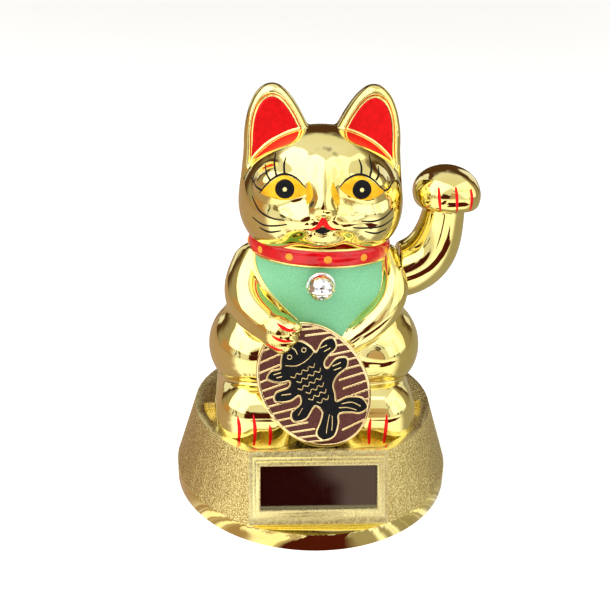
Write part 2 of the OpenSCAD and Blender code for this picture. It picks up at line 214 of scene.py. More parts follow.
def make_stage():
    """Two soft lights and a pale floor that shows darker in the mirror finish."""
    look = bpy.context.scene.view_settings
    look.view_transform = "Standard"
    look.look = "None"
    area_light("key", (-0.45, -0.35, 0.75), (0, 0, 0.06), (1.2, 1.2), 7, (1, 0.98, 0.95))
    area_light("fill", (0.6, -0.3, 0.5), (0, 0, 0.06), (0.9, 0.9), 2.2)
    mesh = bpy.data.meshes.new("floor")
    reach = 15
    corners = [(-reach, -reach, 0), (reach, -reach, 0), (reach, reach, 0), (-reach, reach, 0)]
    mesh.from_pydata(corners, [], [(0, 1, 2, 3)])
    floor = place_object("floor", mesh)
    floor_finish = bpy.data.materials.new("pale_floor")
    floor_finish.use_nodes = True
    n = Nodes(floor_finish.node_tree)
    where = n.add("ShaderNodeTexCoord").outputs["Object"]
    x, y, _ = n.add("ShaderNodeSeparateXYZ", {0: where}).outputs
    wobble = n.add("ShaderNodeTexNoise", {"Vector": where, "Scale": 22.0, "Detail": 2.0}).outputs[0]
    wobble = n.math("MULTIPLY_ADD", wobble, 0.05, -0.025)
    px, py = n.math("ADD", x, wobble), n.math("SUBTRACT", y, wobble)
    glossy = n.add("ShaderNodeLightPath").outputs["Is Glossy Ray"]
    dark_areas = (
        n.window(px, py, (0.045, 0.22, -0.27, -0.12), 0.004),
        n.window(px, py, (-0.02, 0.03, -0.60, -0.19), 0.004),
        n.window(px, py, (-0.016, 0.013, -0.075, -0.035), 0.0012),
    )
    cards = n.math("MAXIMUM", n.math("MAXIMUM", dark_areas[0], dark_areas[1]), dark_areas[2])
    away = n.math("SQRT", n.math("ADD", n.math("MULTIPLY", x, x), n.math("MULTIPLY", y, y)))
    turn = n.math("ARCTAN2", px, n.math("MULTIPLY", py, -1.0))
    streaks = n.add("ShaderNodeTexNoise", {"Vector": turn, "Scale": 5.0, "Detail": 2.0}).outputs[0]
    streaks = n.ramp(streaks, 0.46, 0.60, 1.0, 0.15)
    near = n.math("MULTIPLY", n.ramp(n.math("ADD", away, wobble), 0.080, 0.060, 0.0, 0.88), streaks)
    bearing = n.math("ABSOLUTE", turn)
    ring = n.math("MULTIPLY", glossy, n.math("MAXIMUM", near, n.ramp(bearing, 0.85, 1.25, 0.0, 0.85)))
    mirrored_dark = n.math("MULTIPLY", glossy, cards)
    pale = n.add("ShaderNodeBsdfPrincipled", {
        "Base Color": (0.93, 0.93, 0.935, 1), "Roughness": 0.6,
        "Emission Color": (1, 1, 1, 1), "Emission Strength": 0.36,
    })
    dark = n.add("ShaderNodeEmission", {"Color": (0.09, 0.012, 0.007, 1), "Strength": 1.0})
    side = n.mix(n.ramp(px, -0.03, 0.03), (0.34, 0.17, 0.07, 1), (0.26, 0.21, 0.11, 1))
    shade = n.add("ShaderNodeEmission", {"Color": side, "Strength": 1.0})
    mixed = n.add("ShaderNodeMixShader", {0: ring, 1: pale.outputs[0], 2: shade.outputs[0]})
    mixed = n.add("ShaderNodeMixShader", {0: mirrored_dark, 1: mixed.outputs[0], 2: dark.outputs[0]})
    output = n.add("ShaderNodeOutputMaterial")
    n.tree.links.new(mixed.outputs[0], output.inputs[0])
    mesh.materials.append(floor_finish)


# ---------------------------------------------------------------- distance fields

def length(v):
    """Length of each row."""
    return np.sqrt(np.einsum("ij,ij->i", v, v))


def unit(v):
    """Each row made one unit long."""
    return v / np.maximum(length(v), 1e-6)[:, None]


def ellipsoid(p, centre, radii):
    """A close estimate of the distance to an ellipsoid."""
    q = (p - np.asarray(centre, p.dtype)) / np.asarray(radii, p.dtype)
    near = length(q)
    slope = length(q / np.asarray(radii, p.dtype))
    return near * (near - 1) / np.maximum(slope, 1e-6)


def limb(p, a, b, ra, rb):
    """A round limb from a to b whose radius runs from ra to rb."""
    a, b = np.asarray(a, p.dtype), np.asarray(b, p.dtype)
    along = b - a
    q = p - a
    t = np.clip(q @ along / (along @ along), 0, 1)
    return length(q - t[:, None] * along) - (ra + t * (rb - ra))


def join(a, b, soft):
    """The nearer of two forms, blended over soft."""
    h = np.clip(0.5 + 0.5 * (b - a) / soft, 0, 1)
    return b * (1 - h) + a * h - soft * h * (1 - h)


def cut(a, b, soft):
    """Form a without form b, with its edge rounded over soft."""
    return -join(-a, b, soft)


def both(a, b, soft):
    """What two forms share, with its edge rounded over soft."""
    return -join(-a, -b, soft)


def spline(points, closed=False, parts=6):
    """A smooth curve through the points."""
    points = [np.array(q, float) for q in points]
    n = len(points)
    out = []
    for i in range(n if closed else n - 1):
        if closed:
            a, b, c, d = (points[(i + k - 1) % n] for k in range(4))
        else:
            a, b, c, d = (points[min(max(i + k - 1, 0), n - 1)] for k in range(4))
        for j in range(parts):
            t = j / parts
            out.append(0.5 * (2 * b + (c - a) * t + (2 * a - 5 * b + 4 * c - d) * t ** 2
                              + (3 * b - a - 3 * c + d) * t ** 3))
    if not closed:
        out.append(points[-1])
    return out


def swept(p, points, radii):
    """A limb along a cubic B-spline, with a radius at each point. Far away it only gives a large distance."""
    control = np.array([(*q, r) for q, r in zip(points, radii)], float)
    control = np.vstack([2 * control[0] - control[1], control, 2 * control[-1] - control[-2]])
    spans = len(control) - 3
    basis = np.array([[1, 4, 1, 0], [-3, 0, 3, 0], [3, -6, 3, 0], [-1, 3, -3, 1]]) / 6
    terms = np.stack([basis @ control[i:i + 4] for i in range(spans)])
    reach = control[:, 3].max() + 6
    near = ((p > control[1:-1, :3].min(0) - reach) & (p < control[1:-1, :3].max(0) + reach)).all(1)
    q = p[near].astype(float)
    where = np.zeros(len(q))

    def curve():
        """Each point's span of the curve, its place within that span, and the curve there."""
        i = np.clip(where.astype(int), 0, spans - 1)
        t = (where - i)[:, None]
        c = terms[i]
        return c, t, c[:, 0] + t * (c[:, 1] + t * (c[:, 2] + t * c[:, 3]))

    best = np.full(len(q), 1e9)
    for s in np.linspace(0, spans, spans * 4 + 1):
        i = min(int(s), spans - 1)
        t = s - i
        at = terms[i].T @ np.array([1, t, t * t, t ** 3])
        d = length(q - at[:3]) - at[3]
        closer = d < best
        best[closer] = d[closer]
        where[closer] = s
    for _ in range(3):
        c, t, at = curve()
        first = c[:, 1] + t * (2 * c[:, 2] + 3 * t * c[:, 3])
        second = 2 * c[:, 2] + 6 * t * c[:, 3]
        gap = q - at[:, :3]
        along = np.einsum("ij,ij->i", gap, first[:, :3])
        bend = np.einsum("ij,ij->i", first[:, :3], first[:, :3]) - np.einsum("ij,ij->i", gap, second[:, :3])
        where = np.clip(where + np.clip(along / np.maximum(bend, 1.0), -0.5, 0.5), 0, spans)
    at = curve()[2]
    d = np.full(len(p), 6.0, p.dtype)
    d[near] = length(q - at[:, :3]) - at[:, 3]
    return d


def pillow(p, centre, half, edge):
    """A box with generously rounded edges."""
    q = np.abs(p - np.asarray(centre, p.dtype)) - (np.asarray(half, p.dtype) - edge)
    return length(np.maximum(q, 0)) + np.minimum(q.max(1), 0) - edge


def polygon_distance(x, z, corners):
    """Signed distance to a polygon in the XZ plane, negative inside."""
    best = np.full(x.shape, 1e9, x.dtype)
    sign = np.ones(x.shape, x.dtype)
    for i, a in enumerate(corners):
        b = corners[i - 1]
        ex, ez = b[0] - a[0], b[1] - a[1]
        wx, wz = x - a[0], z - a[1]
        t = np.clip((wx * ex + wz * ez) / (ex * ex + ez * ez), 0, 1)
        dx, dz = wx - ex * t, wz - ez * t
        best = np.minimum(best, dx * dx + dz * dz)
        above, below, left = z >= a[1], z < b[1], ex * wz > ez * wx
        flip = (above & below & left) | (~above & ~below & ~left)
        sign = np.where(flip, -sign, sign)
    return sign * np.sqrt(best)


def plate(flat, across, half, edge):
    """A plate, from the distance to its flat outline, the distance across it, its half thickness and its edge."""
    u, v = flat + edge, np.abs(across) - half + edge
    outside = np.sqrt(np.maximum(u, 0) ** 2 + np.maximum(v, 0) ** 2)
    return outside + np.minimum(np.maximum(u, v), 0) - edge


# ---------------------------------------------------------------- surfaces from distance fields

BLOCK = 8


def sample(distance, low, high, step):
    """Distances on a grid. Blocks far from the surface only get their centre's sign."""
    count = np.ceil((np.array(high) - low) / step / BLOCK).astype(int)
    index = np.stack(np.meshgrid(*[np.arange(c) for c in count], indexing="ij"), -1).reshape(-1, 3)
    centres = (low + (index * BLOCK + (BLOCK - 1) / 2) * step).astype(np.float32)
    middle = distance(centres)
    grid = np.empty((*count, BLOCK, BLOCK, BLOCK), np.float32)
    grid[...] = middle.reshape(*count, 1, 1, 1)
    close = index[np.abs(middle) < step * BLOCK * 1.15 + 1.5]
    inner = np.stack(np.meshgrid(*[np.arange(BLOCK)] * 3, indexing="ij"), -1).reshape(-1, 3)
    for part in np.array_split(close, max(1, len(close) // 1500)):
        points = (low + (part[:, None] * BLOCK + inner) * step).reshape(-1, 3).astype(np.float32)
        grid[part[:, 0], part[:, 1], part[:, 2]] = distance(points).reshape(-1, BLOCK, BLOCK, BLOCK)
    return grid.transpose(0, 3, 1, 4, 2, 5).reshape(count * BLOCK)


def slope(distance, p, reach=0.05):
    """Gradient of a distance field, from four samples on a tetrahedron."""
    total = np.zeros_like(p)
    for corner in ((1, -1, -1), (-1, -1, 1), (-1, 1, -1), (1, 1, 1)):
        way = np.array(corner, p.dtype)
        total += distance(p + way * reach)[:, None] * way
    return total / (4 * reach)


def net(distance, low, high, step):
    """Quads on a field's zero surface, with each vertex moved onto it, and the vertices' normals."""
    low = np.array(low, float)
    grid = sample(distance, low, high, step)
    inside = grid < 0
    shape = np.array(grid.shape) - 1
    offsets = [(i, j, k) for i in (0, 1) for j in (0, 1) for k in (0, 1)]

    def corner(a, o):
        return a[o[0]:o[0] + shape[0], o[1]:o[1] + shape[1], o[2]:o[2] + shape[2]]

    hits = sum(corner(inside, o).astype(np.int8) for o in offsets)
    active = (hits > 0) & (hits < 8)
    cells = np.argwhere(active)
    number = np.full(tuple(shape), -1, np.int64)
    number[active] = np.arange(len(cells))
    total = np.zeros((len(cells), 3))
    count = np.zeros(len(cells))
    for a in offsets:
        for axis in range(3):
            if a[axis]:
                continue
            b = tuple(1 if i == axis else a[i] for i in range(3))
            va = grid[tuple((cells + a).T)]
            vb = grid[tuple((cells + b).T)]
            crossed = (va < 0) != (vb < 0)
            t = np.where(crossed, va / np.where(crossed, va - vb, 1), 0)
            place = cells + np.array(a, float)
            place[:, axis] += t
            total += place * crossed[:, None]
            count += crossed
    points = low + total / count[:, None] * step
    quads = []
    for axis in range(3):
        u, v = [(1, 2), (2, 0), (0, 1)][axis]
        ahead = [slice(None)] * 3
        back = [slice(None)] * 3
        ahead[axis], back[axis] = slice(1, None), slice(None, -1)
        first, second = inside[tuple(back)], inside[tuple(ahead)]
        edges = np.argwhere(first != second)
        keep = (edges[:, u] > 0) & (edges[:, v] > 0) & (edges < shape).all(1)
        edges = edges[keep]
        out = first[tuple(edges.T)]
        step_u, step_v = np.eye(3, dtype=int)[u], np.eye(3, dtype=int)[v]
        ring = [edges - step_u - step_v, edges - step_v, edges, edges - step_u]
        quad = np.stack([number[tuple(r.T)] for r in ring], 1)
        quad[~out] = quad[~out][:, ::-1]
        quads.append(quad)
    for _ in range(4):
        g = slope(distance, points)
        size = np.maximum(np.einsum("ij,ij->i", g, g), 0.05)
        move = distance(points)[:, None] * g / size[:, None]
        limit = np.maximum(length(move) / (step * 0.5), 1)
        points -= move / limit[:, None]
    return points, np.concatenate(quads), unit(slope(distance, points, 0.08))


def mesh_object(name, points, faces, material, normals=None, smooth=True):
    """A mesh piece from points in millimetres."""
    mesh = bpy.data.meshes.new(name)
    if isinstance(faces, np.ndarray):
        faces = faces.tolist()
    mesh.from_pydata((np.asarray(points) * MM).tolist(), [], faces)
    mesh.validate()
    if smooth:
        mesh.shade_smooth()
    if normals is not None and len(normals) == len(mesh.vertices):
        mesh.normals_split_custom_set_from_vertices(np.asarray(normals).tolist())
    mesh.materials.append(material)
    return place_object(name, mesh)


# ---------------------------------------------------------------- materials

def material(name, colour, roughness, metallic=0.0, coat=0.0, ior=1.45):
    """A material with its constants on the shader, and its nodes for what varies."""
    made = bpy.data.materials.new(name)
    made.use_nodes = True
    n = Nodes(made.node_tree)
    shader = n.add("ShaderNodeBsdfPrincipled", {
        "Base Color": (*colour, 1), "Roughness": roughness, "Metallic": metallic,
        "Coat Weight": coat, "Coat Roughness": 0.05, "IOR": ior,
    })
    output = n.add("ShaderNodeOutputMaterial")
    made.node_tree.links.new(shader.outputs[0], output.inputs[0])
    return made, n, shader


def noise(n, scale, detail=2.0, roughness=0.5):
    """Noise in the object's own space."""
    where = n.add("ShaderNodeTexCoord").outputs["Object"]
    settings = {"Vector": where, "Scale": scale, "Detail": detail, "Roughness": roughness}
    return n.add("ShaderNodeTexNoise", settings).outputs[0]


def bump(n, shader, height, strength, distance):
    """Fine relief, with its depth in metres."""
    node = n.add("ShaderNodeBump", {"Height": height, "Strength": strength, "Distance": distance})
    n.tree.links.new(node.outputs[0], shader.inputs["Normal"])


def tint(n, shader, value, low, high, dark, light):
    """Colour that runs between two tints as value goes from low to high."""
    colour = n.mix(n.ramp(value, low, high), (*dark, 1), (*light, 1))
    n.tree.links.new(colour, shader.inputs["Base Color"])


def vary_roughness(n, shader, value, low, high, smooth, rough):
    """Roughness that runs from smooth to rough as value goes from low to high."""
    n.tree.links.new(n.ramp(value, low, high, smooth, rough), shader.inputs["Roughness"])


GOLD = (0.89, 0.78, 0.33)
GOLD_DEEP = (0.82, 0.69, 0.24)


def plated(name, light=GOLD, dark=GOLD_DEEP, waviness=0.12):
    """Mirror plating, a little wavy."""
    made, n, shader = material(name, light, 0.045, metallic=1.0)
    tint(n, shader, noise(n, 60, 3), 0.35, 0.65, dark, light)
    vary_roughness(n, shader, noise(n, 900, 4, 0.7), 0.45, 0.8, 0.035, 0.10)
    bump(n, shader, noise(n, 130, 1.5), waviness, 0.0004)
    return made


def sand_gold():
    """Plating over a moulded sand texture: fine grains that catch the light one by one, with painted shade on the
    sunk grains and painted highlight on the raised ones.
    """
    made, n, shader = material("sand_gold", (0.74, 0.60, 0.26), 0.34, metallic=1.0)
    grain = noise(n, 2300, 2, 0.55)
    # The grains' colour follows the same noise as their bump. This is painted shade on the sunk grains and painted
    # highlight on the raised grains of the sand texture.
    tint(n, shader, grain, 0.38, 0.62, (0.46, 0.33, 0.105), (0.86, 0.74, 0.32))
    vary_roughness(n, shader, noise(n, 1500, 2), 0.4, 0.7, 0.2, 0.4)
    bump(n, shader, grain, 1.0, 0.0004)
    return made


def satin_gold():
    """Smoother plating with a soft sheen, on the ledge and the panel's frame."""
    made, n, shader = material("satin_gold", (0.90, 0.80, 0.37), 0.4, metallic=1.0)
    grain = noise(n, 2600, 2, 0.6)
    tint(n, shader, grain, 0.35, 0.65, (0.84, 0.72, 0.31), (0.96, 0.88, 0.44))
    vary_roughness(n, shader, noise(n, 1200, 2), 0.4, 0.7, 0.27, 0.38)
    bump(n, shader, grain, 0.12, 0.0002)
    return made


def painted(name, colour, darker, roughness=0.25, coat=0.05, grain=700, ior=1.35, metallic=0.0):
    """Brushed-on lacquer."""
    made, n, shader = material(name, colour, roughness, metallic=metallic, coat=coat, ior=ior)
    tint(n, shader, noise(n, grain, 2), 0.3, 0.7, darker, colour)
    bump(n, shader, noise(n, 260, 2), 0.08, 0.0003)
    return made


def pearl_green():
    """The bib's pale green with a pearly grain."""
    made, n, shader = material("pearl_green", (0.17, 0.56, 0.29), 0.4, coat=0.1)
    tint(n, shader, noise(n, 4200, 3, 0.7), 0.38, 0.62, (0.15, 0.46, 0.24), (0.22, 0.60, 0.33))
    bump(n, shader, noise(n, 3600, 2), 0.2, 0.0001)
    return made


# ---------------------------------------------------------------- the figure's forms

FACE_X = 0.8            # the head sits a little to the viewer's right of the body's middle
AXIS = (0, 0, AXIS_Z)
SEAT_X = 24.4           # flat seat on the body that the waving arm turns against
SEAT_R = 10.4
ARM_X = 25.0            # the arm's flat inner end
EAR = spline([(21.6, 92.0), (22.5, 108.0), (21.7, 116.4), (19.6, 122.2), (16.6, 125.2), (13.2, 125.6),
              (10.0, 123.4), (7.2, 119.7), (4.7, 115.2), (2.7, 110.5), (1.0, 98.0)], closed=True, parts=5)
EAR_FACE = spline([(19.2, 99.0), (20.5, 109.0), (19.9, 116.6), (18.0, 121.2), (15.0, 123.1), (11.9, 122.2),
                   (9.2, 119.2), (7.0, 115.4), (5.3, 111.2), (4.4, 102.0)], closed=True, parts=5)


def mirrored(p):
    """The same points, folded to the +X side."""
    q = p.copy()
    q[:, 0] = np.abs(q[:, 0])
    return q


def trunk(p):
    """Belly, back, haunches, shoulders and feet."""
    m = mirrored(p)
    low = join(ellipsoid(p, (0, 4.5, 30), (31, 22, 18)), ellipsoid(p, (0, 1.5, 46), (27, 24, 24)), 4)
    high = join(ellipsoid(p, (0, 1, 67), (24, 18.6, 17)), ellipsoid(p, (0.6, 0, 80), (19.3, 17.3, 8)), 4)
    d = join(low, high, 5)
    d = join(d, limb(p, (0, 4.5, 36), (0, 1.2, 74), 20.5, 14.6), 8)
    d = join(d, ellipsoid(m, (18.5, -0.5, 46.5), (14.6, 19, 14.2)), 3.2)
    d = join(d, ellipsoid(m, (15.5, 0, 65), (12.2, 13.5, 11)), 5)
    toes = pillow(m, (17.2, -9.0, 24), (13.4, 17.0, 16.8), 10.5)
    seated = pillow(p, (-0.4, -2, 24), (30.6, 19.5, 16.6), 11)
    return join(d, join(toes, seated, 2), 1.0)


def coin_arm(p):
    """The cat's right arm: down from the shoulder and across to the coin, with three toes on its paw."""
    d = swept(p, [(-17.5, -1, 71), (-20.6, -6.5, 67.5), (-20.4, -13.0, 64.2), (-16.6, -18.8, 62.0),
                  (-12.6, -22.8, 60.6)], [8.6, 7.7, 6.5, 5.6, 5.0])
    d = join(d, ellipsoid(p, (-11.2, -24.4, 60.4), (5.4, 4.6, 5.2)), 2.0)
    for x, z in ((-7.9, 62.9), (-8.9, 59.4), (-11.0, 56.9)):
        d = join(d, ellipsoid(p, (x, -26.2, z), (2.6, 2.3, 1.9)), 0.7)
    return d


def chest_fold(p):
    """The fold that runs from the other shoulder down to the coin, along the edge of the bib."""
    return swept(p, [(20.8, -3.2, 74.7), (22.5, -8.8, 71.0), (22.0, -12.8, 66), (17.9, -15.6, 61),
                     (12.2, -16.8, 56.6), (6, -17, 52)], [5.0, 4.6, 4.6, 4.6, 4.4, 4.0])


def ears(m):
    """Both ears, from mirrored points about the head's middle. Lower down it only gives a large distance."""
    d = np.full(len(m), 6.0, m.dtype)
    near = (m[:, 2] > 93) & (m[:, 0] < 30) & (np.abs(m[:, 1]) < 14)
    q = m[near]
    flat = polygon_distance(q[:, 0], q[:, 2], EAR)
    half = 5.4 - 2.2 * np.clip((q[:, 2] - 104) / 20, 0, 1)
    body = plate(flat, q[:, 1] - 0.8, half, 2.5)
    face = polygon_distance(q[:, 0], q[:, 2], EAR_FACE)
    front = q[:, 1] - (0.8 - half + 1.3)
    d[near] = cut(body, both(face, front, 0.8), 0.9)
    return d


def head(p):
    """Skull, cheeks, ears, brow, muzzle and chin."""
    q = p.copy()
    q[:, 0] -= FACE_X
    m = mirrored(q)
    f = mirrored(p)
    skull = ellipsoid(q, (0, 0, 95.5), (23.4, 20.5, 18.9))
    cheeks = ellipsoid(m, (10.5, -2.2, 90.5), (12.9, 17, 12.4))
    d = join(join(skull, cheeks, 4), ears(m), 0.9)
    d = join(d, limb(p, (0, -14.8, 106), (0, -20.2, 97.0), 2.6, 3.0), 5)
    d = cut(d, ellipsoid(f, (5.4, -23.9, 98.6), (2.4, 3.6, 4.2)), 3.0)
    d = join(d, ellipsoid(f, (10.4, -12.9, 100.6), (8.0, 6.2, 5.4)), 2.0)
    d = join(d, ellipsoid(f, (4.7, -16.4, 91.6), (6.6, 5.9, 4.3)), 3.0)
    d = join(d, ellipsoid(p, (0, -21.0, 95.4), (3.2, 2.6, 2.0)), 1.6)
    d = join(d, ellipsoid(p, (0, -15.2, 86.6), (6.6, 5.0, 3.8)), 3.0)
    return cut(d, ellipsoid(p, (0, -22.6, 89.0), (3.0, 2.2, 1.0)), 0.8)


def figure(p):
    """The whole cat but its waving arm, with the flat round seat for that arm cut into its side."""
    d = join(trunk(p), coin_arm(p), 0.8)
    d = join(d, chest_fold(p), 1.0)
    away = p[:, 1:] - np.array(AXIS[1:], p.dtype)
    seat = np.maximum(length(away) - SEAT_R, SEAT_X - p[:, 0])
    d = cut(d, seat, 0.35)
    return join(d, head(p), 0.8)


def arm(p):
    """The waving arm: out from the shoulder, bent upwards, with a broad paw hanging forwards."""
    d = swept(p, [(20, 0, 69.4), (26.0, 0, 70.2), (31.6, -0.2, 72.6), (35.4, -0.6, 77.4), (37.0, -1.2, 83.6),
                  (37.5, -1.8, 89.4), (37.6, -1.8, 95)], [8.4, 8.5, 8.5, 7.9, 7.0, 6.2, 6.0])
    d = both(d, ARM_X - p[:, 0], 0.5)
    paw = ellipsoid(p, (37.6, -1.6, 95.9), (9.5, 10.9, 7.5))
    paw = join(paw, pillow(p, (37.9, -4.0, 95.0), (8.3, 8.0, 5.4), 5.2), 3.0)
    under = 90.9 - p[:, 2] - 0.10 * (p[:, 1] + 6)
    d = join(d, both(paw, under, 2.2), 0.5)
    for x in (36.1, 40.6):
        d = cut(d, limb(p, (x, -15.0, 88.0), (x, -13.4, 91.4), 1.4, 0.7), 1.2)
    return d


# ---------------------------------------------------------------- shells

STEP = 0.45
WALL = 1.3
SEAM = 0.19             # half the gap where a front and a rear shell meet
PIVOT_HOLE = 5.5


def shell(name, distance, low, high, side, material_used, body, node, floor=None, flat_x=None):
    """One hollow half of a form, parted at the seam, and open below floor and round the pivot at flat_x."""
    points, quads, normals = net(distance, low, high, STEP)
    mesh = bpy.data.meshes.new(name)
    mesh.from_pydata(points.tolist(), [], quads.tolist())
    work = bmesh.new()
    work.from_mesh(mesh)
    cuts = [((0, side * SEAM, 0), (0, side, 0))]
    if floor is not None:
        cuts.append(((0, 0, floor), (0, 0, 1)))
    for place, way in cuts:
        bmesh.ops.bisect_plane(work, geom=work.verts[:] + work.edges[:] + work.faces[:], dist=0.02,
                               plane_co=place, plane_no=way, clear_inner=True)
    if flat_x is not None:
        hidden = [f for f in work.faces if f.calc_center_median().x < flat_x + 0.35 and abs(f.normal.x) > 0.7
                  and (f.calc_center_median() - Vector((flat_x, 0, AXIS_Z))).length < PIVOT_HOLE]
        bmesh.ops.delete(work, geom=hidden, context="FACES")
    bmesh.ops.triangulate(work, faces=[f for f in work.faces if len(f.verts) > 4])
    work.to_mesh(mesh)
    count = len(mesh.vertices)
    outer = np.empty(count * 3, np.float32)
    mesh.vertices.foreach_get("co", outer)
    outer = outer.reshape(-1, 3).astype(float)
    way = unit(slope(distance, outer, 0.08))
    rim = np.abs(outer[:, 1] - side * SEAM) < 0.03
    way[rim, 1] -= side * 0.55
    way /= length(way)[:, None]
    outer[rim] -= 0.05 * way[rim]
    inner = outer - WALL * way
    inner[rim, 1] = side * SEAM
    faces = [list(f.vertices) for f in mesh.polygons]
    edges = [[v.index for v in e.verts] for e in work.edges if len(e.link_faces) == 1]
    sides = {(v, f[(i + 1) % len(f)]) for f in faces for i, v in enumerate(f)}
    edges = [(b, a) if (a, b) in sides else (a, b) for a, b in edges]
    rims = [[a, b, b + count, a + count] for a, b in edges]
    backs = [[v + count for v in reversed(f)] for f in faces]
    work.free()
    bpy.data.meshes.remove(mesh)
    made = bpy.data.meshes.new(name)
    made.from_pydata((np.concatenate([outer, inner]) * MM).tolist(), [], faces + backs + rims)
    made.shade_smooth()
    corner = []
    for f in faces:
        corner.extend(way[v] for v in f)
    for f in backs:
        corner.extend(-way[v - count] for v in f)
    both_sides = np.concatenate([outer, inner])
    for f in rims:
        a, b, c = both_sides[f[0]], both_sides[f[1]], both_sides[f[2]]
        n = np.cross(b - a, c - b)
        n /= max(np.linalg.norm(n), 1e-9)
        corner.extend([n] * 4)
    made.normals_split_custom_set(np.array(corner).tolist())
    made.materials.append(material_used)
    piece = place_object(name, made)
    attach(piece, body)
    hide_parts(node)


# ---------------------------------------------------------------- painted details

def stroke(points, widths, parts=6):
    """The outline of a brush stroke along a curve, with its width at each given point."""
    line = np.array(spline(points, parts=parts))
    across = np.interp(np.linspace(0, 1, len(line)), np.linspace(0, 1, len(widths)), widths)
    way = np.gradient(line, axis=0)
    way /= np.linalg.norm(way, axis=1)[:, None]
    side = np.stack([-way[:, 1], way[:, 0]], 1) * across[:, None] / 2
    return [*(line + side), *(line - side)[::-1]]


def circle(centre, radius, parts=28):
    """Points round a circle."""
    return [(centre[0] + radius * math.cos(2 * math.pi * i / parts),
             centre[1] + radius * math.sin(2 * math.pi * i / parts)) for i in range(parts)]


def fill(outline, spacing):
    """A closed outline filled with evenly spaced points and triangles."""
    outline = [np.array(q, float) for q in outline]
    edge = []
    for i, a in enumerate(outline):
        b = outline[(i + 1) % len(outline)]
        parts = max(1, int(np.linalg.norm(b - a) / spacing))
        edge.extend(a + (b - a) * j / parts for j in range(parts))
    ring = np.array(edge)
    low, high = ring.min(0), ring.max(0)
    xs = np.arange(low[0], high[0], spacing)
    zs = np.arange(low[1], high[1], spacing * 0.87)
    grid = np.array([(x + spacing / 2 * (j % 2), z) for j, z in enumerate(zs) for x in xs]).reshape(-1, 2)
    if len(grid):
        grid = grid[polygon_distance(grid[:, 0], grid[:, 1], [tuple(q) for q in ring]) < -spacing * 0.45]
    points = [Vector(q) for q in ring] + [Vector(q) for q in grid]
    loop = [(i, (i + 1) % len(ring)) for i in range(len(ring))]
    made = delaunay_2d_cdt(points, loop, [], 1, 1e-6)
    flat = np.array([tuple(q) for q in made[0]])
    return flat, [list(f) for f in made[2]]


def drop_on(distance, flat, start=-45.0, steps=70):
    """Where points of the XZ plane meet a surface along +Y, or else the surface's place nearest to them."""
    p = np.column_stack([flat[:, 0], np.full(len(flat), start), flat[:, 1]])
    for _ in range(steps):
        p[:, 1] += np.clip(distance(p), -2, 6) * 0.75
    missed = np.abs(distance(p)) > 0.1
    if missed.any():
        q = p[missed]
        q[:, 1] = -1.0
        for _ in range(8):
            way = slope(distance, q, 0.08)
            q -= unit(way) * distance(q)[:, None]
        p[missed] = q
    return p


def skirt(triangles, first):
    """A sheet's border points, and faces that join each border edge to copies of them numbered from first."""
    used = {(f[i], f[(i + 1) % 3]) for f in triangles for i in range(3)}
    edge = [(a, b) for a, b in used if (b, a) not in used]
    border = sorted({v for e in edge for v in e})
    lower = {v: first + i for i, v in enumerate(border)}
    return border, [[b, a, lower[a], lower[b]] for a, b in sorted(edge)]


def decal(name, outlines, distance, lift, paint, body, spacing=0.5, depth=0.25):
    """Paint of one colour over part of a surface, with its edge turned down into the surface."""
    points, faces = [], []
    for outline in outlines:
        flat, triangles = fill(outline, spacing)
        p = drop_on(distance, flat)
        n = unit(slope(distance, p, 0.08))
        border, sides = skirt(triangles, len(p))
        facing = triangles[0]
        a, b, c = p[facing[0]], p[facing[1]], p[facing[2]]
        flip = np.dot(np.cross(b - a, c - b), n[facing[0]]) < 0
        top = p + n * lift
        under = p[border] - n[border] * depth
        offset = sum(len(q) for q in points)
        made = triangles + sides
        if flip:
            made = [f[::-1] for f in made]
        points.append(np.concatenate([top, under]))
        faces.extend([[v + offset for v in f] for f in made])
    piece = mesh_object(name, np.concatenate(points), faces, paint)
    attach(piece, body)


def band_faces(rows, count, closed=False):
    """Quads between neighbouring rows of count points, where each row is a closed loop."""
    faces = []
    for i in range(rows if closed else rows - 1):
        k = (i + 1) % rows
        for j in range(count):
            across = (j + 1) % count
            faces.append([i * count + j, i * count + across, k * count + across, k * count + j])
    return faces


def tube(name, line, radius, metal, body, parts=10):
    """A round bead along a line of points."""
    line = np.array(line)
    way = np.gradient(line, axis=0)
    way /= np.linalg.norm(way, axis=1)[:, None]
    side = np.cross(way, (0.3, -1.0, 0.2))
    side /= np.linalg.norm(side, axis=1)[:, None]
    third = np.cross(way, side)
    turn = np.linspace(0, 2 * np.pi, parts, endpoint=False)
    across, up = np.cos(turn)[None, :, None], np.sin(turn)[None, :, None]
    ring = line[:, None] + radius * (across * side[:, None] + up * third[:, None])
    n = len(line)
    faces = band_faces(n, parts)
    faces += [list(range(parts))[::-1], [(n - 1) * parts + j for j in range(parts)]]
    piece = mesh_object(name, ring.reshape(-1, 3), faces, metal)
    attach(piece, body)


# ---------------------------------------------------------------- head, arms and clothes

def build_figure(paints):
    """The front and rear shells of the figure and of the arm."""
    gold = paints["gold"]
    for place, side, y0, y1 in (("front", FRONT, -34, 2), ("rear", REAR, -2, 32)):
        shell(f"figure_{place}_skin", figure, (-37, y0, 20), (37, y1, 129), side, gold, "housing",
              f"figure_{place}_shell", floor=FLOOR_Z + 0.05, flat_x=SEAT_X)
    for place, side, y0, y1 in (("front", FRONT, -17, 2), ("rear", REAR, -2, 14)):
        shell(f"arm_{place}_skin", arm, (23, y0, 58), (50, y1, 107), side, gold, "arm",
              f"arm_{place}_shell", flat_x=ARM_X)


EYES = [
    [(-16.9, 98.8), (-15.0, 101.3), (-12.6, 103.3), (-10.2, 104.0), (-7.4, 103.0), (-5.3, 101.3),
     (-3.9, 99.9), (-6.6, 98.3), (-10.2, 97.4), (-13.8, 97.8)],
    [(4.4, 101.0), (6.2, 102.7), (8.6, 103.9), (10.9, 103.9), (13.4, 102.6), (15.4, 100.9),
     (16.9, 99.2), (13.9, 97.8), (11.6, 97.5), (7.4, 98.6)],
]
PUPILS = [(-10.4, 100.5), (10.5, 100.5)]


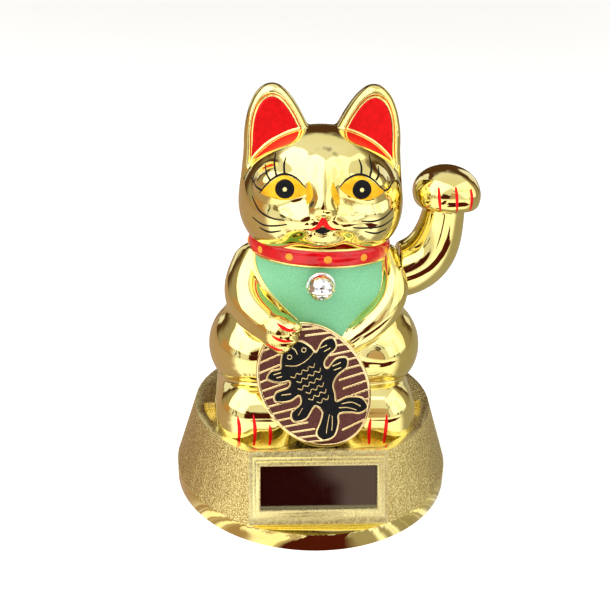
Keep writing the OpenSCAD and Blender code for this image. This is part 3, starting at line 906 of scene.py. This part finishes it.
def paint_face(paints):
    """Eyes, lids, lashes, whiskers, mouth and the insides of the ears."""
    spots = [spline(eye, closed=True, parts=5) for eye in EYES]
    decal("eye_yellow", spots, figure, 0.06, paints["yellow"], "housing", 0.45)
    decal("eye_pupils", [circle(c, 2.6) for c in PUPILS], figure, 0.11, paints["black"], "housing", 0.4)
    decal("eye_glints", [circle(c, 0.58, 16) for c in PUPILS], figure, 0.15, paints["glint"], "housing", 0.25)
    tears = [
        [(-3.9, 102.9), (-2.9, 100.4), (-3.1, 98.4), (-4.4, 96.6), (-4.6, 98.8), (-4.5, 101.0)],
        [(2.3, 103.0), (3.5, 100.6), (4.3, 98.8), (4.4, 96.5), (3.1, 97.8), (2.0, 99.9)],
    ]
    corners = [spline(t, closed=True, parts=4) for t in tears]
    decal("eye_tears", corners, figure, 0.06, paints["yellow"], "housing", 0.4)
    lids = [
        stroke([(-17.2, 98.5), (-15.2, 101.6), (-12.8, 103.6), (-10.2, 104.3), (-7.2, 103.3), (-4.6, 100.9)],
               [0.15, 0.4, 0.5, 0.5, 0.45, 0.15]),
        stroke([(4.3, 101.1), (6.0, 103.0), (8.6, 104.2), (11.0, 104.2), (13.7, 102.9), (17.4, 99.2)],
               [0.15, 0.45, 0.5, 0.5, 0.4, 0.15]),
    ]
    lashes = [
        [(-12.5, 103.5), (-13.1, 105.8), (-12.7, 108.2)], [(-14.2, 102.5), (-15.2, 103.9), (-15.6, 105.3)],
        [(-10.5, 104.6), (-10.5, 106.2), (-9.9, 107.8)], [(-16.4, 99.5), (-18.2, 100.1), (-19.8, 101.3)],
        [(10.2, 104.1), (10.5, 106.0), (9.9, 107.8)], [(12.6, 103.6), (13.4, 105.8), (13.1, 108.2)],
        [(14.4, 102.8), (15.3, 104.0), (15.6, 105.5)], [(16.9, 99.6), (18.8, 99.6), (20.3, 100.8)],
    ]
    strokes = lids + [stroke(points, [0.6, 0.52, 0.18]) for points in lashes]
    whiskers = [
        [(-19.3, 96.8), (-17.2, 93.6), (-13.8, 92.2), (-10.4, 92.2)],
        [(-19.2, 91.2), (-16.2, 89.9), (-12.8, 90.2), (-9.8, 91.2)],
        [(-17.2, 88.8), (-14.6, 88.0), (-11.3, 88.9)],
        [(20.2, 94.0), (17.2, 92.2), (13.8, 91.6), (10.6, 92.1)],
        [(20.6, 91.4), (16.6, 89.9), (11.6, 89.9), (8.2, 90.6)],
        [(18.4, 88.6), (15.2, 87.9), (11.8, 88.8)],
    ]
    strokes += [stroke(points, [0.2, 0.46, 0.52, 0.3]) for points in whiskers]
    decal("lash_lines", strokes, figure, 0.07, paints["black"], "housing", 0.3)
    lips = [
        stroke([(0, 93.6), (-0.4, 92.0), (-1.6, 90.6), (-3.8, 89.9)], [1.2, 1.7, 1.2, 0.3]),
        stroke([(0, 93.6), (0.4, 92.0), (1.6, 90.6), (3.6, 90.0)], [1.2, 1.7, 1.2, 0.3]),
    ]
    mouth = spline([(-2.1, 89.3), (0, 90.6), (2.1, 89.4), (0, 88.4)], closed=True, parts=5)
    decal("mouth_opening", [mouth], figure, 0.06, paints["black"], "housing", 0.3)
    decal("lip_paint", lips, figure, 0.07, paints["red"], "housing", 0.35)
    ear = [(18.9, 103.0), (19.9, 110.0), (19.3, 116.3), (17.5, 120.6), (14.9, 122.3), (12.3, 121.5),
           (9.8, 118.8), (7.6, 115.1), (6.0, 111.2), (5.4, 105.0)]
    red = [spline([(s * x + FACE_X, z) for x, z in ear], closed=True, parts=4) for s in (-1, 1)]
    decal("ear_paint", red, ear_inside, 0.05, paints["red"], "housing", 0.6)


def ear_inside(p):
    """The ears alone, so that their paint runs on down behind the brow."""
    q = p.copy()
    q[:, 0] -= FACE_X
    return ears(mirrored(q))


def paint_claws(paints):
    """Red claws on the feet, on the paw by the coin and on the waving paw."""
    feet = [
        [(-23.7, 33.6), (-23.2, 29.6), (-23.6, 24.4)], [(-19.1, 34.4), (-18.6, 29.4), (-19.0, 24.2)],
        [(-14.3, 31.2), (-14.0, 27.6), (-14.3, 24.2)], [(15.6, 33.0), (15.3, 28.6), (15.6, 24.2)],
        [(20.4, 34.2), (20.3, 29.4), (20.0, 24.4)],
    ]
    marks = [stroke(points, [0.12, 0.95, 1.1, 0.9, 0.7]) for points in feet]
    marks += [stroke(points, [0.25, 0.9, 0.8, 0.2]) for points in (
        [(-12.4, 64.6), (-9.9, 63.2), (-7.2, 62.8)], [(-13.9, 61.5), (-11.2, 60.1), (-8.3, 59.6)],
        [(-15.2, 58.5), (-13.0, 57.2), (-10.6, 56.9)])]
    decal("claw_paint", marks, figure, 0.06, paints["red"], "housing", 0.35)
    waving = [
        [(33.3, 99.2), (33.5, 96.2), (34.2, 92.4)], [(38.0, 99.5), (38.4, 96.2), (38.9, 92.4)],
        [(42.5, 98.8), (42.9, 96.0), (42.9, 92.6)],
    ]
    decal("waving_claw_paint", [stroke(points, [0.5, 0.85, 0.8, 0.35]) for points in waving], arm, 0.06,
          paints["red"], "arm", 0.35)


BIB_LEFT = [(-18.4, 79.0), (-18.0, 74.6), (-14.8, 69.6), (-11.2, 65.8), (-7.6, 62.6), (-4.0, 59.6), (0.0, 56.0)]
BIB_RIGHT = [(9.0, 55.6), (13.0, 58.6), (17.0, 62.6), (19.4, 66.6), (20.4, 70.4), (20.4, 74.0), (19.2, 79.0)]


def build_bib(paints):
    """The green bib over the chest, with a gold bead down one edge."""
    left, right = spline(BIB_LEFT, parts=8), spline(BIB_RIGHT, parts=8)
    top = [(x, 80.0) for x in np.linspace(17, -18, 12)]
    decal("bib_cloth", [[*left, *right, *top]], trunk, 0.4, paints["mint"], "housing", 0.55, depth=0.6)
    p = drop_on(trunk, np.array(left))
    tube("bib_edge", p + slope(trunk, p, 0.08) * 0.3, 0.42, paints["gold"], "housing")


COLLAR_Z = 79.6
COLLAR_HALF = (20.3, 18.1)
COLLAR_LEAN, COLLAR_TILT = math.radians(2.3), math.radians(1.2)
BAND_HALF = 2.4         # half the collar band's height
EDGE_UP = 2.45          # height of its two edge beads above and below the middle
BULGE = (0.15, 0.95)    # how far out the band's edge lies, and how much further its middle


def on_collar(turn, out, up):
    """A point by its angle round the collar, its distance out from the ring and its height on the band."""
    x = (COLLAR_HALF[0] + out) * math.sin(turn)
    y = -(COLLAR_HALF[1] + out) * math.cos(turn)
    z = COLLAR_Z + up - math.sin(COLLAR_LEAN) * y - math.sin(COLLAR_TILT) * x
    return (x + FACE_X, y, z)


def ring_mesh(name, profile, paint, turns=180):
    """A profile, as pairs of (out, up), carried round the collar."""
    points = [on_collar(2 * math.pi * i / turns, out, up) for i in range(turns) for out, up in profile]
    piece = mesh_object(name, points, band_faces(turns, len(profile), closed=True), paint)
    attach(piece, "housing")


def build_collar(paints):
    """The red band with its gold edges and twelve orange dots."""
    front_angles = np.linspace(-1.45, 1.45, 15)
    front = [(BULGE[0] + BULGE[1] * math.cos(a), BAND_HALF * math.sin(a)) for a in front_angles]
    band = [(-1.6, -BAND_HALF), *front, (-1.6, BAND_HALF)]
    ring_mesh("collar_band", band, paints["red_gloss"])
    round_angles = np.linspace(0, 2 * math.pi, 12, endpoint=False)
    for name, up in (("collar_edge_upper", EDGE_UP), ("collar_edge_lower", -EDGE_UP)):
        bead = [(0.1 + 0.5 * math.cos(a), up + 0.42 * math.sin(a)) for a in round_angles]
        ring_mesh(name, bead, paints["gold"])
    points, faces = [], []
    rings, parts, radius = 4, 20, 1.15
    for i in range(12):
        turn = math.radians(3 + 30 * i)
        start = len(points)
        for r in range(rings + 1):
            share = r / rings
            for k in range(parts):
                a = 2 * math.pi * k / parts
                up = radius * share * math.sin(a)
                across = radius * share * math.cos(a)
                bulge = BULGE[0] + BULGE[1] * math.sqrt(max(0.0, 1 - (up / BAND_HALF) ** 2))
                lift = 0.30 * math.sqrt(max(0.0, 1 - share ** 2)) - 0.05
                points.append(on_collar(turn + across / 20, bulge + lift, up))
        for r in range(rings):
            for k in range(parts):
                a, b = start + r * parts + k, start + r * parts + (k + 1) % parts
                faces.append([a, b, b + parts, a + parts])
    piece = mesh_object("collar_dots", points, faces, paints["orange"])
    work = bmesh.new()
    work.from_mesh(piece.data)
    bmesh.ops.remove_doubles(work, verts=work.verts, dist=1e-7)
    bmesh.ops.recalc_face_normals(work, faces=work.faces)
    work.to_mesh(piece.data)
    work.free()
    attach(piece, "housing")


BELL_R = 3.8
BELL_C = ((bell_low + bell_high) / 2 * (1, 0, 0) + (0, bell_low[1] + BELL_R, bell_high[2] - BELL_R))


def bell(p):
    """A round bell with a raised ring, and a slot that ends in a round hole."""
    q = p - BELL_C.astype(p.dtype)
    d = length(q) - BELL_R
    ring = np.sqrt((np.sqrt(q[:, 0] ** 2 + q[:, 1] ** 2) - BELL_R) ** 2 + (q[:, 2] + 0.4) ** 2) - 0.26
    d = join(d, ring, 0.25)
    slot = both(np.abs(q[:, 0]) - 0.34, q[:, 2] + 2.0, 0.1)
    hole = limb(q, (0.0, -6.0, -2.0), (0.0, 6.0, -2.0), 0.7, 0.7)
    return cut(d, join(slot, hole, 0.1), 0.2)


def build_bell(paints):
    """The bell, and the plain ring that seats it against the chest."""
    points, quads, normals = net(bell, BELL_C - 4.6, BELL_C + 4.6, 0.16)
    piece = mesh_object("collar_bell_skin", points, quads, paints["silver"], normals)
    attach(piece, "housing")
    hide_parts("collar_bell")
    turns = np.linspace(0, 2 * math.pi, 73)
    seat = 3.75
    ring = [(BELL_C[0] + seat * math.cos(a), BELL_C[1] + 1.3, BELL_C[2] + seat * math.sin(a)) for a in turns]
    tube("bell_seat_ring", ring, 0.42, paints["silver"], "housing")


# ---------------------------------------------------------------- the coin

COIN_C = np.array([-1.4, -25.5, 43.8])
COIN_HALF = (15.6, 20.2)
COIN_T = 2.6
COIN_GRID = (17, 21.5)      # half the area that the coin's relief is worked out over
RIB_WIDTH, THIN_WIDTH = 0.33, 0.18
COIN_LEAN, COIN_TURN = math.radians(10), math.radians(30)
KOI = [
    (-2.2, 12.9), (0.6, 14.0), (3.0, 12.8), (4.3, 10.2), (4.8, 8.2), (7.6, 10.0), (10.3, 9.4), (9.8, 6.6),
    (7.0, 5.6), (5.2, 4.4), (5.2, 2.6), (8.2, 3.8), (10.8, 2.6), (9.6, 0.2), (6.4, -0.6), (4.4, -2.2), (3.6, -4.8),
    (3.0, -7.0), (6.0, -7.4), (9.0, -9.6), (9.2, -12.8), (6.8, -13.4), (4.6, -11.8), (1.8, -10.6), (0.4, -13.0),
    (-2.2, -15.6), (-5.2, -15.2), (-5.8, -12.4), (-3.4, -10.0), (-1.6, -7.6), (-2.6, -5.2), (-6.2, -7.2),
    (-9.2, -6.2), (-8.6, -3.6), (-5.4, -2.6), (-4.6, -0.4), (-7.6, -0.4), (-10.6, 1.4), (-9.4, 3.6), (-6.0, 3.2),
    (-4.8, 4.6), (-7.2, 5.6), (-9.4, 8.2), (-7.6, 9.6), (-5.2, 9.0), (-3.9, 11.0),
]
KOI_WIDE, KOI_LONG = 1.14, 1.06


COIN_TURNED = np.array(
    Matrix.Rotation(math.pi / 2 - COIN_LEAN, 3, "X") @ Matrix.Rotation(COIN_TURN, 3, "Z"))


def coin_place(points):
    """Points on the coin (across it, up it, out of it) in the frame's axes."""
    return np.asarray(points) @ COIN_TURNED.T + COIN_C


def koi_scaled(points, closed, parts):
    """A smooth line of the koi at its size on the coin."""
    return [(q[0] * KOI_WIDE, q[1] * KOI_LONG) for q in spline(points, closed=closed, parts=parts)]


def coin_edge(u, v):
    """A close estimate of the distance to the coin's oval edge."""
    q = np.sqrt((u / COIN_HALF[0]) ** 2 + (v / COIN_HALF[1]) ** 2)
    g = np.sqrt((u / COIN_HALF[0] ** 2) ** 2 + (v / COIN_HALF[1] ** 2) ** 2)
    return q * (q - 1) / np.maximum(g, 1e-6)


def coin_lines():
    """The relief as short straight pieces on the coin's face: ribs, thin lines and the koi's outline."""
    koi = koi_scaled(KOI, True, 5)
    lines = [(koi[i - 1], koi[i]) for i in range(len(koi))]

    def inside(u, v):
        return float(polygon_distance(np.array([u]), np.array([v]), koi)[0])

    for side in (-1, 1):
        for v0 in np.arange(-16.6, 17.0, 2.55):
            share = v0 / COIN_HALF[1]
            reach = COIN_HALF[0] * math.sqrt(max(0.0, 1 - share ** 2)) - 0.5
            start = np.array([side * reach, v0])
            lean = 0.26 + 0.012 * v0 * side
            way = np.array([-side * math.cos(lean), side * math.sin(lean)])
            end = start.copy()
            while inside(*end) > 0.25 and np.linalg.norm(end - start) < 7.5 and abs(end[0]) > 0.8:
                end = end + way * 0.3
            if np.linalg.norm(end - start) > 1.2:
                lines.append((tuple(start), tuple(end)))
    marks = [
        [(-3.6, 9.0), (-1.6, 7.6), (0.6, 7.3), (2.8, 7.8), (4.4, 8.6)],
        [(-0.2, 12.9), (0.5, 11.6), (0.4, 10.2)],
        [(6.2, 8.6), (8.0, 8.4)], [(6.6, 7.2), (8.4, 7.2)], [(-5.6, 7.9), (-7.4, 8.4)],
        [(-5.9, 6.8), (-7.2, 7.2)], [(6.6, 2.4), (8.8, 2.2)], [(6.4, 1.2), (8.2, 0.9)],
        [(-6.2, 1.2), (-8.4, 2.2)], [(-5.6, -4.0), (-7.4, -5.2)],
        [(3.8, -8.4), (6.2, -9.4), (7.6, -11.6)], [(-0.4, -9.4), (-2.4, -12.0), (-3.6, -13.8)],
        [(2.6, -9.0), (4.6, -10.2), (6.2, -12.0)], [(0.0, -10.2), (-1.0, -12.2), (-2.0, -13.8)],
    ]
    for row, v in enumerate((5.2, 3.2, 1.2, -0.8, -2.8, -4.8)):
        half = (3.2, 3.4, 3.2, 2.8, 2.2, 1.6)[row]
        shift = 0.9 if row % 2 else 0.0
        for u in np.arange(-half + shift, half, 1.8):
            marks.append([(u - 0.75, v + 0.35), (u, v - 0.45), (u + 0.75, v + 0.35)])
    thin = []
    for mark in marks:
        curve = koi_scaled(mark, False, 4)
        thin.extend((tuple(curve[i]), tuple(curve[i + 1])) for i in range(len(curve) - 1))
    eyes = [circle((-1.9, 11.2), 0.66, 12), circle((2.7, 11.0), 0.66, 12)]
    for eye in eyes:
        thin.extend((eye[i - 1], eye[i]) for i in range(len(eye)))
    return lines, thin, koi


def nearest_line(u, v, lines, width):
    """Distance to the nearest of some lines of this half width. Far away it only gives a large distance."""
    best = np.full(u.shape, 50.0)
    margin = 1.5
    for (ax, ay), (bx, by) in lines:
        ex, ey = bx - ax, by - ay
        near = (u > min(ax, bx) - margin) & (u < max(ax, bx) + margin)
        near &= (v > min(ay, by) - margin) & (v < max(ay, by) + margin)
        uu, vv = u[near], v[near]
        t = np.clip(((uu - ax) * ex + (vv - ay) * ey) / max(ex * ex + ey * ey, 1e-9), 0, 1)
        d = np.sqrt((uu - ax - ex * t) ** 2 + (vv - ay - ey * t) ** 2) - width
        best[near] = np.minimum(best[near], d)
    return best


def build_coin(paints):
    """The coin's metal with its raised ribs, and the enamel and koi that lie between them."""
    lines, thin, koi = coin_lines()
    pitch = 0.1
    us, vs = (np.arange(-half, half + pitch / 2, pitch) for half in COIN_GRID)
    grid_u, grid_v = np.meshgrid(us, vs, indexing="ij")
    flat_u, flat_v = grid_u.ravel(), grid_v.ravel()
    rib = nearest_line(flat_u, flat_v, lines, RIB_WIDTH)
    rib = np.minimum(rib, nearest_line(flat_u, flat_v, thin, THIN_WIDTH))
    rib = np.minimum(rib, 2.0).reshape(grid_u.shape).astype(np.float32)

    def rib_at(u, v):
        x = np.clip((u + COIN_GRID[0]) / pitch, 0, rib.shape[0] - 1.001)
        y = np.clip((v + COIN_GRID[1]) / pitch, 0, rib.shape[1] - 1.001)
        i, j = x.astype(int), y.astype(int)
        fx, fy = x - i, y - j
        return ((rib[i, j] * (1 - fx) + rib[i + 1, j] * fx) * (1 - fy)
                + (rib[i, j + 1] * (1 - fx) + rib[i + 1, j + 1] * fx) * fy)

    def metal(p):
        u, v, w = p[:, 0], p[:, 1], p[:, 2]
        edge = coin_edge(u, v)
        d = plate(edge, w + COIN_T / 2, COIN_T / 2, 0.45)
        d = cut(d, both(edge + 1.0, -0.55 - w, 0.1), 0.15)
        ribs = both(both(rib_at(u, v), w + 0.04, 0.22), -1.2 - w, 0.1)
        return join(d, both(ribs, edge + 0.6, 0.1), 0.1)

    points, quads, normals = net(metal, (-16.4, -21, -3.2), (16.4, 21, 0.8), 0.2)
    piece = mesh_object("coin_metal", coin_place(points), quads, paints["gold_line"], normals @ COIN_TURNED.T)
    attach(piece, "housing")
    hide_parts("coin_plaque")

    def flat_piece(name, outline, height, paint, spacing=1.2):
        flat, triangles = fill(outline, spacing)
        top = np.column_stack([flat, np.full(len(flat), height)])
        faces = []
        for f in triangles:
            a, b, c = flat[f[0]], flat[f[1]], flat[f[2]]
            faces.append(f if (b - a)[0] * (c - b)[1] - (b - a)[1] * (c - b)[0] > 0 else f[::-1])
        border, sides = skirt(faces, len(top))
        under = top[border] - (0, 0, 0.2)
        made = mesh_object(name, coin_place(np.concatenate([top, under])), faces + sides, paint, smooth=False)
        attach(made, "housing")

    oval = [((COIN_HALF[0] - 0.7) * math.cos(a), (COIN_HALF[1] - 0.7) * math.sin(a))
            for a in np.linspace(0, 2 * math.pi, 96, endpoint=False)]
    flat_piece("coin_enamel", oval, -0.24, paints["brown"], 1.6)
    flat_piece("coin_motif", koi, -0.13, paints["black"])


# ---------------------------------------------------------------- base

PANEL_TOP_Y = -32.1
PANEL_LEAN = math.radians(19.8)
PANEL_HALF = 20.6
PANEL_UP = (0.3, 21.4)      # where the panel's frame starts and ends, up its slope from the rim
BAND_H = 5.6
LEDGE_Z = 22
SAND, POLISHED, SATIN = 0, 1, 2


def build_base(paints):
    """The base's own shape with softened edges: sand texture outside, polished band, ledge and well."""
    mesh = frame["nodes"]["base_housing"].data.copy()
    mesh.name = "base_skin"
    mesh.materials.clear()
    for finish in ("sand", "gold", "satin"):
        mesh.materials.append(paints[finish])
    work = bmesh.new()
    work.from_mesh(mesh)
    bmesh.ops.remove_doubles(work, verts=work.verts, dist=1e-6)
    bmesh.ops.dissolve_limit(work, angle_limit=math.radians(0.4), verts=work.verts, edges=work.edges)
    for f in work.faces:
        c, n = f.calc_center_median() / MM, f.normal
        away = math.hypot(c.x, c.y)
        outside = away > 30 or c.y < -30
        in_well = c.z > 22.5 and abs(n.z) < 0.3 and c.z < 26 and (c.x * n.x + c.y * n.y) < 0
        polished = c.z < BAND_H + 0.05 or in_well or (c.z < 24 and n.z > 0.9) or not outside
        f.material_index = SAND
        if polished:
            f.material_index = SATIN if c.z > LEDGE_Z else POLISHED
        up = (RIM_Z - c.z) / math.cos(PANEL_LEAN)
        out = (PANEL_TOP_Y - math.sin(PANEL_LEAN) * up - c.y) * math.cos(PANEL_LEAN)
        if abs(c.x) < PANEL_HALF and PANEL_UP[0] < up < PANEL_UP[1] and out > -2.4 and c.y < -31:
            f.material_index = SATIN
        f.smooth = True
    work.to_mesh(mesh)
    work.free()
    piece = place_object("base_skin", mesh)
    soften = piece.modifiers.new("soft edges", "BEVEL")
    soften.width = 0.22 * MM
    soften.segments = 2
    soften.limit_method = "ANGLE"
    soften.angle_limit = math.radians(10)
    soften.harden_normals = True
    soften.use_clamp_overlap = True
    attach(piece, "housing")
    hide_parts("base_housing")


# ---------------------------------------------------------------- finish of the carried-over nodes

def cell_glass():
    """Dark red-black glass with the cell's fine stripes under it."""
    made, n, shader = material("cell_glass", (0.010, 0.001, 0.001), 0.04, coat=1.0, ior=2.0)
    where = n.add("ShaderNodeTexCoord").outputs["Object"]
    x = n.add("ShaderNodeSeparateXYZ", {0: where}).outputs[0]
    stripe = n.math("PINGPONG", n.math("MULTIPLY", x, 1 / (1.15 * MM)), 0.5)
    tint(n, shader, stripe, 0.0, 0.06, (0.035, 0.008, 0.006), (0.008, 0.0006, 0.0006))
    vary_roughness(n, shader, noise(n, 500, 2), 0.3, 0.7, 0.03, 0.07)
    return made


def inner_materials():
    """A finish for each material slot of the parts inside."""
    plain = {
        "cover_plastic": ((0.55, 0.42, 0.20), (0.48, 0.36, 0.16), 0.5, 0.0),
        "inner_plastic": ((0.75, 0.74, 0.70), (0.68, 0.67, 0.62), 0.5, 0.0),
        "board_laminate": ((0.30, 0.18, 0.06), (0.24, 0.14, 0.05), 0.45, 0.0),
        "black_resin": ((0.02, 0.02, 0.02), (0.012, 0.012, 0.012), 0.45, 0.0),
        "capacitor_sleeve": ((0.02, 0.03, 0.10), (0.015, 0.02, 0.08), 0.3, 0.0),
        "copper_wire": ((0.80, 0.36, 0.18), (0.62, 0.24, 0.10), 0.3, 1.0),
        "zinc_steel": ((0.70, 0.70, 0.72), (0.58, 0.58, 0.60), 0.35, 1.0),
        "steel": ((0.62, 0.62, 0.63), (0.52, 0.52, 0.53), 0.28, 1.0),
        "nickel_magnet": ((0.72, 0.70, 0.66), (0.62, 0.60, 0.56), 0.2, 1.0),
        "tape": ((0.80, 0.70, 0.45), (0.74, 0.63, 0.38), 0.6, 0.0),
        "red_insulation": ((0.55, 0.02, 0.02), (0.45, 0.015, 0.015), 0.4, 0.0),
        "black_insulation": ((0.02, 0.02, 0.02), (0.012, 0.012, 0.012), 0.4, 0.0),
    }
    made = {}
    for name, (light, dark, roughness, metallic) in plain.items():
        finish, n, shader = material(name + "_finish", light, roughness, metallic=metallic)
        grain = noise(n, 1400, 3)
        tint(n, shader, grain, 0.3, 0.7, dark, light)
        vary_roughness(n, shader, grain, 0.3, 0.7, roughness * 0.85, roughness * 1.15)
        bump(n, shader, grain, 0.15, 0.0001)
        made[name] = finish
    made["cell_glass"] = cell_glass()
    return made


def finish_nodes(paints):
    """Each carried-over node gets the finish that its row in the record names."""
    made = inner_materials()
    slots = {part["node"]: part["material_slot"] for part in frame["record"]["subparts"]}
    for name, piece in frame["nodes"].items():
        for place in piece.material_slots:
            place.material = made.get(slots.get(name), paints["gold"])


# ---------------------------------------------------------------- assembly

def make_paints():
    """Every finish that the visible pieces use."""
    silver, n, shader = material("bell_silver", (0.86, 0.87, 0.90), 0.05, metallic=1.0)
    tint(n, shader, noise(n, 300, 2), 0.35, 0.65, (0.72, 0.72, 0.75), (0.92, 0.93, 0.96))
    bump(n, shader, noise(n, 520, 2), 0.5, 0.0006)
    brown, n, shader = material("coin_brown", (0.10, 0.022, 0.014), 0.4, coat=0.05, ior=1.35)
    tint(n, shader, noise(n, 2600, 3, 0.7), 0.35, 0.7, (0.055, 0.009, 0.006), (0.13, 0.032, 0.022))
    bump(n, shader, noise(n, 900, 2), 0.15, 0.0002)
    return {
        "gold": plated("mirror_gold_finish"),
        "gold_line": plated("coin_gold", (0.88, 0.72, 0.38), (0.80, 0.60, 0.28), 0.05),
        "sand": sand_gold(),
        "satin": satin_gold(),
        "yellow": painted("eye_lacquer", (0.93, 0.52, 0.012), (0.86, 0.42, 0.008), 0.3, metallic=0.3),
        "orange": painted("dot_lacquer", (0.90, 0.36, 0.03), (0.82, 0.26, 0.015)),
        "glint": painted("glint_lacquer", (0.85, 0.76, 0.35), (0.78, 0.66, 0.25)),
        "red": painted("red_lacquer", (0.86, 0.004, 0.006), (0.74, 0.002, 0.004), 0.32, metallic=0.45),
        "red_gloss": painted("collar_lacquer", (0.66, 0.006, 0.010), (0.52, 0.003, 0.006), 0.1, 0.4, 300),
        "black": painted("black_lacquer", (0.004, 0.004, 0.006), (0.002, 0.002, 0.003), 0.45, 0.0, ior=1.25),
        "mint": pearl_green(),
        "silver": silver,
        "brown": brown,
    }


make_camera()
make_world()
make_stage()
finishes = make_paints()
finish_nodes(finishes)
build_base(finishes)
build_figure(finishes)
paint_face(finishes)
paint_claws(finishes)
build_bib(finishes)
build_collar(finishes)
build_bell(finishes)
build_coin(finishes)
